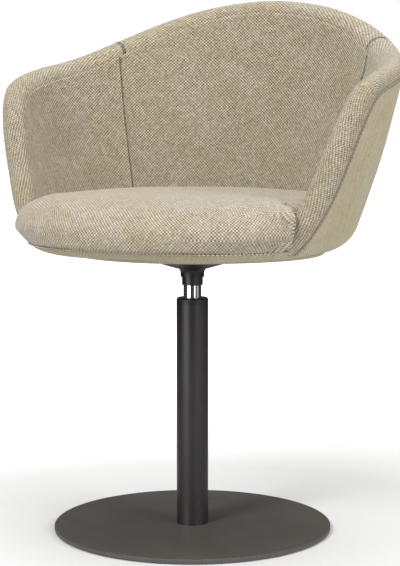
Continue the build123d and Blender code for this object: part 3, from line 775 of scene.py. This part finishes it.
def stitches(name, points, pitch, length, radius):
    """Separate short stitches along a line, each a slim six-sided lozenge."""
    fine = evenly(points, pitch / 4)
    shape = bmesh.new()
    for i in range(0, len(fine) - 4, 4):
        start, end = fine[i], fine[i + 4]
        way = (end - start) / max(np.linalg.norm(end - start), 1e-6)
        middle = (start + end) / 2
        side = np.cross(way, (0, 0, 1))
        side = side / max(np.linalg.norm(side), 1e-6)
        up = np.cross(side, way)
        rings = []
        for offset, size in ((-0.5, 0.35), (-0.3, 1.0), (0.3, 1.0), (0.5, 0.35)):
            centre = middle + way * length * offset
            ring = []
            for k in range(6):
                turn = k * math.pi / 3
                point = centre + radius * size * (side * math.cos(turn) + up * math.sin(turn))
                ring.append(shape.verts.new((point * MM).tolist()))
            rings.append(ring)
        join_rings(shape, rings)
        shape.faces.new(rings[0][::-1])
        shape.faces.new(rings[-1])
    bmesh.ops.recalc_face_normals(shape, faces=shape.faces)
    mesh = finished_mesh(shape, name)
    smooth_shaded(mesh)
    return add_object(name, mesh)


def sewn(piece):
    """A seam or a row of stitches goes with the part that it is sewn to."""
    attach(piece, "seat")


rim_line = mirrored(wall_section(*stations.T, seam_drop, -0.2)[None])[0]
rim_seam = tube_along("rim_seam", evenly(rim_line, 3), 1.3)
outer_row = mirrored(wall_section(*stations.T, seam_drop + 4, -0.9)[None])[0]
rim_stitches = stitches("rim_stitches", outer_row, 6.0, 4.2, 0.55)
sewn(rim_seam)
sewn(rim_stitches)

band_height = np.full_like(band_side, nose_top)
band_line = np.stack([*plan_point(band_side, band_height, 0.2), band_height], -1)
band_seam = tube_along("band_seam", evenly(band_line, 3), 0.7)
stitch_height = np.full_like(band_side, 460.0)
stitch_line = np.stack(
    [*plan_point(band_side, stitch_height, outer_inset(band_side, stitch_height) - 1.0), stitch_height], -1
)
band_stitches = stitches("band_stitches", stitch_line, 6.5, 4.4, 0.9)
sewn(band_seam)
sewn(band_stitches)

inner_seams = []
rim_joins = []
for sign, side_name in sides:
    heights = np.linspace(470, 760, 120)
    ways = np.linspace(0.3, 1.0, 400)
    line = []
    for z in heights:
        x, y = plan_point(ways, np.full_like(ways, z), wall_thickness + 1.2)
        best = int(np.argmin(np.abs(seam_offset(x, y))))
        if z < float(rim_height(x[best], y[best], seam_drop)):
            line.append((sign * x[best], y[best], z))
    best_column = int(np.argmin(np.abs(roll_off) + (roll_x * sign < 0) * 1e6))
    inner_seams.append(tube_along(f"{side_name}_upright_seam", evenly(np.array(line), 3), 0.5))
    rim_joins.append(tube_along(f"{side_name}_rim_join", evenly(roll[2:-2, best_column], 3), 0.3))
    sewn(inner_seams[-1])
    sewn(rim_joins[-1])
print("seams and stitches in place")

# %% [markdown]
# Finishes. Effects that several materials share are node groups: the tweed weave, and the fine grain of
# powder coat, plastic and metal. A group only puts out colours, heights and roughness that change over
# the surface. The shader itself stays in each material.

# %% Small helpers for node trees
def new_group(name, inputs):
    """A shader node group, fed with a place, numbers and colours; its tree, input node and output node."""
    tree = bpy.data.node_groups.new(name, "ShaderNodeTree")
    for label, value in inputs.items():
        kind = "Vector" if value is None else "Float" if isinstance(value, float) else "Color"
        socket = tree.interface.new_socket(name=label, in_out="INPUT", socket_type="NodeSocket" + kind)
        if value is not None:
            socket.default_value = value
    for label, kind in (("Color", "Color"), ("Height", "Float"), ("Roughness", "Float")):
        tree.interface.new_socket(name=label, in_out="OUTPUT", socket_type="NodeSocket" + kind)
    return tree, tree.nodes.new("NodeGroupInput"), tree.nodes.new("NodeGroupOutput")


def put(tree, socket, value):
    """Feed a socket from another socket, or set its value."""
    if isinstance(value, bpy.types.NodeSocket):
        tree.links.new(value, socket)
    else:
        socket.default_value = value


def fill_inputs(tree, node, values):
    """Feed or set the inputs of a node, by number or name."""
    for label, value in values.items():
        put(tree, node.inputs[label], value)


def add_node(tree, kind, values=None, **settings):
    """A new node with its settings and its inputs."""
    node = tree.nodes.new("ShaderNode" + kind)
    for label, value in settings.items():
        setattr(node, label, value)
    fill_inputs(tree, node, values or {})
    return node


def maths(tree, operation, *values):
    return add_node(tree, "Math", dict(enumerate(values)), operation=operation).outputs[0]


def noise(tree, vector, scale, detail=3.0, roughness=0.5):
    return add_node(
        tree, "TexNoise", {"Vector": vector, "Scale": scale, "Detail": detail, "Roughness": roughness}
    )


def between(tree, value, low, high, new_low, new_high):
    """A value moved from one range to another, and held inside it."""
    return add_node(tree, "MapRange", dict(enumerate((value, low, high, new_low, new_high)))).outputs[0]


def blend_colours(tree, share, first, second):
    return add_node(tree, "Mix", {0: share, 6: first, 7: second}, data_type="RGBA").outputs[2]


def seen_directly(tree, ray):
    """1 for the camera's own rays and for rays through something clear, otherwise 0."""
    seen = maths(tree, "ADD", ray.outputs["Is Camera Ray"], ray.outputs["Is Transmission Ray"])
    return maths(tree, "MINIMUM", seen, 1.0)


# %% [markdown]
# The cloth is a coarse tweed in plain weave: light yarns in cream and beige lie over dark ones in khaki
# brown and charcoal, turn by turn, so from afar they read as fine diagonals. Each crossing gets its own
# shade from a random value, a rounded height, and a fine fuzz of fibres on top.

# %% Tweed weave group
weave, weave_in, weave_out = new_group("tweed_weave", {
    "Cloth": None,
    "Yarn Width": 0.00265,
    "Contrast": 1.0,
    "Cream": (0.78, 0.72, 0.59, 1),
    "Beige": (0.58, 0.515, 0.40, 1),
    "Khaki": (0.31, 0.255, 0.175, 1),
    "Charcoal": (0.15, 0.12, 0.08, 1),
    "Middle": (0.435, 0.38, 0.285, 1),
})
yarn = weave_in.outputs
wobble = noise(weave, yarn["Cloth"], 130, 2).outputs["Color"]
wavy = add_node(
    weave, "VectorMath", {0: wobble, 1: (0.0011, 0.0011, 0), 2: yarn["Cloth"]}, operation="MULTIPLY_ADD"
)
split_cloth = add_node(weave, "SeparateXYZ", {0: wavy.outputs[0]})
yarn_x = maths(weave, "DIVIDE", split_cloth.outputs[0], yarn["Yarn Width"])
yarn_y = maths(weave, "DIVIDE", split_cloth.outputs[1], yarn["Yarn Width"])
wave_x = maths(weave, "SINE", maths(weave, "MULTIPLY", yarn_x, math.pi))
wave_y = maths(weave, "SINE", maths(weave, "MULTIPLY", yarn_y, math.pi))
over_under = maths(weave, "MULTIPLY", wave_x, wave_y)
cell = add_node(weave, "CombineXYZ", {0: maths(weave, "FLOOR", yarn_x), 1: maths(weave, "FLOOR", yarn_y)})
yarn_random = add_node(weave, "TexWhiteNoise", {"Vector": cell.outputs[0]}, noise_dimensions="3D")
drift = noise(weave, yarn["Cloth"], 60, 3)
drifted = maths(weave, "SUBTRACT", drift.outputs["Fac"], 0.5)
shade = maths(weave, "MULTIPLY_ADD", drifted, 0.9, yarn_random.outputs["Value"])
light_yarn = blend_colours(weave, between(weave, shade, 0.35, 1.0, 0, 1), yarn["Beige"], yarn["Cream"])
dark_yarn = blend_colours(weave, between(weave, shade, 0.0, 0.6, 0, 1), yarn["Charcoal"], yarn["Khaki"])
over = between(weave, over_under, -0.3, 0.3, 0, 1)
woven = blend_colours(weave, over, dark_yarn, light_yarn)
evened = blend_colours(weave, yarn["Contrast"], yarn["Middle"], woven)
fuzz = noise(weave, yarn["Cloth"], 1400, 2, 0.7)
cloud = noise(weave, yarn["Cloth"], 14, 3, 0.55)
cloud_share = between(weave, cloud.outputs["Fac"], 0.36, 0.64, 0, 1)
cloud_tint = blend_colours(weave, cloud_share, (0.97, 0.93, 0.86, 1), (1.02, 1.03, 1.06, 1))
mottled = add_node(weave, "VectorMath", {0: evened, 1: cloud_tint}, operation="MULTIPLY")
put(weave, weave_out.inputs["Color"], mottled.outputs[0])
relief = maths(weave, "MULTIPLY_ADD", over_under, 0.45, 0.5)
put(weave, weave_out.inputs["Height"], maths(weave, "MULTIPLY_ADD", fuzz.outputs["Fac"], 0.3, relief))
put(weave, weave_out.inputs["Roughness"], between(weave, fuzz.outputs["Fac"], 0.3, 0.7, 0.82, 0.98))
print("weave group with", len(weave.nodes), "nodes")


# %% Cloth materials
def new_material(name):
    """An empty material with its shader, and the tree to build in."""
    made = bpy.data.materials.new(name)
    made.use_nodes = True
    return made, made.node_tree, made.node_tree.nodes["Principled BSDF"]


def bump(tree, shader, height, strength, distance):
    """Let a height show as relief: its share, and its depth in metres."""
    node = add_node(tree, "Bump", {"Strength": strength, "Distance": distance, "Height": height})
    put(tree, shader.inputs["Normal"], node.outputs[0])


def tweed(name, painted_light_gain=1.0, warmth=1.0, contrast=1.0):
    """Tweed, one copy per place: the gain lightens or darkens it to paint the light and shade of that place,
    and the warmth takes out blue.
    """
    made, tree, shader = new_material(name)
    cloth_way = add_node(tree, "UVMap", uv_map="cloth")
    group = add_node(tree, "Group", {"Cloth": cloth_way.outputs[0]}, node_tree=weave)
    for label in ("Cream", "Beige", "Khaki", "Charcoal", "Middle"):
        base = group.inputs[label].default_value
        group.inputs[label].default_value = (base[0] * painted_light_gain, base[1] * painted_light_gain, base[2] * painted_light_gain / warmth, 1)
    group.inputs["Contrast"].default_value = contrast
    fill_inputs(tree, shader, {
        "Base Color": group.outputs["Color"], "Roughness": group.outputs["Roughness"],
        "Sheen Weight": 0.25, "Sheen Roughness": 0.5, "Specular IOR Level": 0.2,
    })
    bump(tree, shader, group.outputs["Height"], 0.6, 0.0008)
    return made


# Four copies of one cloth whose gains paint light and shade: the inside of the tub is darkest as painted
# shade, the seat a little lighter, and the outside and the underside lightest.
tweed_outside = tweed("tweed_outside", painted_light_gain=0.84, warmth=1.17, contrast=0.5)
tweed_inside = tweed("tweed_inside", painted_light_gain=0.69, warmth=1.04)
tweed_seat = tweed("tweed_seat", painted_light_gain=0.75, contrast=0.9)
tweed_below = tweed("tweed_below", painted_light_gain=0.86, warmth=1.12, contrast=0.4)


def thread(name, colour):
    """Twisted sewing thread: one colour with a fine spiral of light and dark."""
    made, tree, shader = new_material(name)
    place = add_node(tree, "TexCoord").outputs["Object"]
    twist = add_node(tree, "TexWave", {"Vector": place, "Scale": 350, "Distortion": 2})
    darker = tuple(c * 0.55 for c in colour) + (1,)
    mixed = blend_colours(tree, twist.outputs["Fac"], darker, colour + (1,))
    fill_inputs(tree, shader, {"Base Color": mixed, "Roughness": 0.75, "Sheen Weight": 0.2})
    bump(tree, shader, twist.outputs["Fac"], 0.5, 0.0003)
    return made


seam_thread = thread("seam_thread", (0.26, 0.21, 0.15))
pale_thread = thread("pale_thread", (0.74, 0.68, 0.56))
welt_cloth = thread("welt_cloth", (0.30, 0.25, 0.17))
upright_cloth = thread("upright_cloth", (0.42, 0.37, 0.28))


def cover_with(piece, material):
    """Give an object one material."""
    piece.data.materials.clear()
    piece.data.materials.append(material)


cloths = {
    tweed_outside: [outer_fabric, front_cloth],
    tweed_inside: [back_fabric, *arm_fabrics],
    tweed_seat: [cushion],
    tweed_below: [under_fabric, under_middle],
    welt_cloth: [rim_seam, band_seam],
    seam_thread: [rim_stitches, *inner_seams],
    pale_thread: [band_stitches],
    upright_cloth: rim_joins,
}
for cloth_look, pieces in cloths.items():
    for piece in pieces:
        cover_with(piece, cloth_look)
print("cloths dressed")

# %% [markdown]
# Powder coat, moulded plastic, rubber and paint are all one colour with a fine uneven skin. One grain
# group gives them a small change of shade, of gloss and of height, with a different size for each. For
# turned metal and for plywood the grain is stretched, so its fine lines run one way.

# %% Grain group
grain, grain_in, grain_out = new_group("fine_grain", {
    "Place": None,
    "Base": (0.03, 0.03, 0.03, 1),
    "Grain Scale": 900.0,
    "Gloss Low": 0.4,
    "Gloss High": 0.5,
})
skin = grain_in.outputs
speckle = noise(grain, skin["Place"], skin["Grain Scale"], 3, 0.6)
smudge = noise(grain, skin["Place"], 14, 4, 0.6)
tone = between(grain, smudge.outputs["Fac"], 0.25, 0.75, 0.9, 1.12)
toned = add_node(grain, "VectorMath", {0: skin["Base"], "Scale": tone}, operation="SCALE")
put(grain, grain_out.inputs["Color"], toned.outputs[0])
put(grain, grain_out.inputs["Height"], speckle.outputs["Fac"])
half_speckle = maths(grain, "MULTIPLY", speckle.outputs["Fac"], 0.5)
half_smudge = maths(grain, "MULTIPLY", smudge.outputs["Fac"], 0.5)
gloss_mix = maths(grain, "ADD", half_speckle, half_smudge)
gloss = between(grain, gloss_mix, 0.3, 0.7, skin["Gloss Low"], skin["Gloss High"])
put(grain, grain_out.inputs["Roughness"], gloss)


# %% Materials of the hard parts
def coated(name, colour, low, high, scale, strength, distance=0.0002, metallic=0.0, stretch=(1, 1, 1)):
    """A hard surface with the fine grain: its colour, its range of gloss and the size of its grain."""
    made, tree, shader = new_material(name)
    place = add_node(tree, "TexCoord").outputs["Object"]
    stretched = add_node(tree, "Mapping", {"Vector": place, "Scale": stretch}).outputs[0]
    look = {"Base": colour + (1,), "Grain Scale": scale, "Gloss Low": low, "Gloss High": high}
    group = add_node(tree, "Group", {"Place": stretched, **look}, node_tree=grain)
    fill_inputs(tree, shader, {
        "Base Color": group.outputs["Color"], "Roughness": group.outputs["Roughness"], "Metallic": metallic,
    })
    bump(tree, shader, group.outputs["Height"], strength, distance)
    return made


turned = {"metallic": 1.0, "stretch": (1, 1, 6)}
finishes = {
    coated("disc_powder_coat", (0.094, 0.084, 0.075), 0.36, 0.5, 1100, 0.3): ["base_plate"],
    coated("column_powder_coat", (0.024, 0.0215, 0.0215), 0.34, 0.42, 1100, 0.25): ["column_tube"],
    coated("black_plastic", (0.014, 0.014, 0.015), 0.38, 0.52, 700, 0.35): [
        "guide_bush", "bell_cover", "lever_paddle",
    ],
    coated("black_rubber", (0.02, 0.02, 0.02), 0.7, 0.85, 500, 0.5): [
        "floor_pad", "piston_ring", "stop_buffer", "rod_seal",
    ],
    coated("black_paint", (0.02, 0.02, 0.021), 0.3, 0.42, 600, 0.2): ["taper_hub", "mounting_plate"],
    coated("bright_chrome", (0.82, 0.82, 0.83), 0.06, 0.13, 300, 0.02, metallic=1.0): [
        "gas_cylinder", "piston_rod", "bearing_balls",
    ],
    coated("turned_steel", (0.52, 0.52, 0.53), 0.25, 0.4, 500, 0.15, **turned): [
        "column_screws", "lower_race", "upper_race", "rod_clip", "release_pin", "mount_screws", "tee_nuts",
        "lever_bracket", "pivot_pin", "release_lever",
    ],
    coated("turned_brass", (0.68, 0.5, 0.22), 0.25, 0.4, 500, 0.15, **turned): ["rod_gland", "valve_block"],
    coated("turned_aluminium", (0.72, 0.72, 0.73), 0.3, 0.45, 500, 0.15, **turned): ["piston"],
    coated("grey_casting", (0.10, 0.10, 0.105), 0.55, 0.75, 350, 0.5, 0.0004, metallic=0.6): [
        "column_foot", "bearing_shelf",
    ],
    coated("cage_plastic", (0.32, 0.30, 0.26), 0.45, 0.6, 600, 0.3): ["ball_cage"],
    coated("shell_plastic", (0.20, 0.19, 0.175), 0.5, 0.65, 400, 0.4): ["shell_core"],
    coated("raw_plywood", (0.52, 0.36, 0.21), 0.55, 0.75, 160, 0.4, 0.0004, stretch=(1, 12, 12)): [
        "seat_board",
    ],
}
for finish, nodes in finishes.items():
    for node in nodes:
        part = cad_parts[node]
        for material_slot in part.material_slots:
            material_slot.material = finish
        if not part.material_slots:
            part.data.materials.append(finish)
print("finished nodes:", sum(len(nodes) for nodes in finishes.values()))

# %% [markdown]
# The studio is plain: a white floor that runs out of sight, one large soft light at the front left, a
# broad soft light above and a weak one at the right. The floor adds white for the camera only, little near
# the chair and all of it further out, so it reads as white but still shows the soft shadow. Three white
# cards stand beside the camera for mirrors only: they draw the bright bands down the column and the chrome.

# %% Floor and lights
floor_glow = 0.05
floor_white = (0.76, 0.76, 0.76, 1)
floor_in_mirrors = (0.06, 0.06, 0.06, 1)


def one_face(name, corners):
    """An object of one flat face through four corners."""
    mesh = bpy.data.meshes.new(name)
    mesh.from_pydata(corners, [], [(0, 1, 2, 3)])
    return add_object(name, mesh)


def studio_floor(size=12):
    """The floor: white, its added white growing outwards, and dark far out where metal mirrors it."""
    made = one_face("floor", [(-size, -size, 0), (size, -size, 0), (size, size, 0), (-size, size, 0)])
    material, tree, shader = new_material("white_floor")
    place = add_node(tree, "TexCoord").outputs["Object"]
    distance = add_node(tree, "VectorMath", {0: place}, operation="LENGTH").outputs["Value"]
    whiteness = between(tree, distance, 0.45, 1.8, floor_glow, 1.0)
    ray = add_node(tree, "LightPath")
    for_camera = maths(tree, "MULTIPLY", seen_directly(tree, ray), whiteness)
    darkening = between(tree, distance, 0.3, 1.2, 0.3, 1.0)
    far_dark = maths(tree, "MULTIPLY", ray.outputs["Is Glossy Ray"], darkening)
    fill_inputs(tree, shader, {
        "Base Color": blend_colours(tree, far_dark, floor_white, floor_in_mirrors),
        "Roughness": 0.9, "Specular IOR Level": 0.0,
        "Emission Color": (1, 1, 1, 1), "Emission Strength": for_camera,
    })
    cover_with(made, material)


studio_floor()


def bright_card(name, low, high, brightness, distance=2.2, top=1.3):
    """An upright white card that only mirrors see, between two angles off the camera's line."""
    places = []
    for turn in (low, high):
        angle = camera_azimuth + math.radians(turn)
        places.append((distance * math.sin(angle), -distance * math.cos(angle)))
    (x0, y0), (x1, y1) = places
    made = one_face(name, [(x0, y0, 0.02), (x1, y1, 0.02), (x1, y1, top), (x0, y0, top)])
    material = bpy.data.materials.new(name)
    material.use_nodes = True
    tree = material.node_tree
    tree.nodes.remove(tree.nodes["Principled BSDF"])
    mirrored_ray = add_node(tree, "LightPath").outputs["Is Glossy Ray"]
    clear = add_node(tree, "BsdfTransparent").outputs[0]
    glow = add_node(tree, "Emission", {"Strength": brightness}).outputs[0]
    mix = add_node(tree, "MixShader", {0: mirrored_ray, 1: clear, 2: glow})
    tree.links.new(mix.outputs[0], tree.nodes["Material Output"].inputs["Surface"])
    cover_with(made, material)


bright_card("card_left", -66, -28, 5.0)
bright_card("card_middle", 22, 40, 1.6)
bright_card("card_right", 58, 88, 0.4)


def soft_light(name, place, target, size, power):
    """A square area light aimed at a point."""
    lamp = bpy.data.lights.new(name, "AREA")
    lamp.shape = "SQUARE"
    lamp.size = size
    lamp.energy = power
    made = add_object(name, lamp)
    made.location = place
    aim = Vector(target) - Vector(place)
    made.rotation_euler = aim.to_track_quat("-Z", "Y").to_euler()


soft_light("key_light", (-0.75, -2.95, 2.5), (0, 0, 0.5), 1.2, 88)
soft_light("top_light", (0.0, 0.2, 3.2), (0, 0, 0.4), 2.4, 66)
soft_light("side_light", (3.0, -0.6, 1.5), (0, 0, 0.6), 1.8, 52)

world = bpy.data.worlds.new("studio")
bpy.context.scene.world = world
world.use_nodes = True
sky = world.node_tree
background = sky.nodes["Background"]
background.inputs["Color"].default_value = (1, 1, 1, 1)
sky_ray = add_node(sky, "LightPath")
plain = maths(sky, "MULTIPLY_ADD", sky_ray.outputs["Is Glossy Ray"], -0.24, 0.32)
brighter = maths(sky, "ADD", seen_directly(sky, sky_ray), plain)
sky.links.new(maths(sky, "MINIMUM", brighter, 1.0), background.inputs["Strength"])
bpy.context.scene.view_settings.view_transform = "Standard"
print("studio ready")
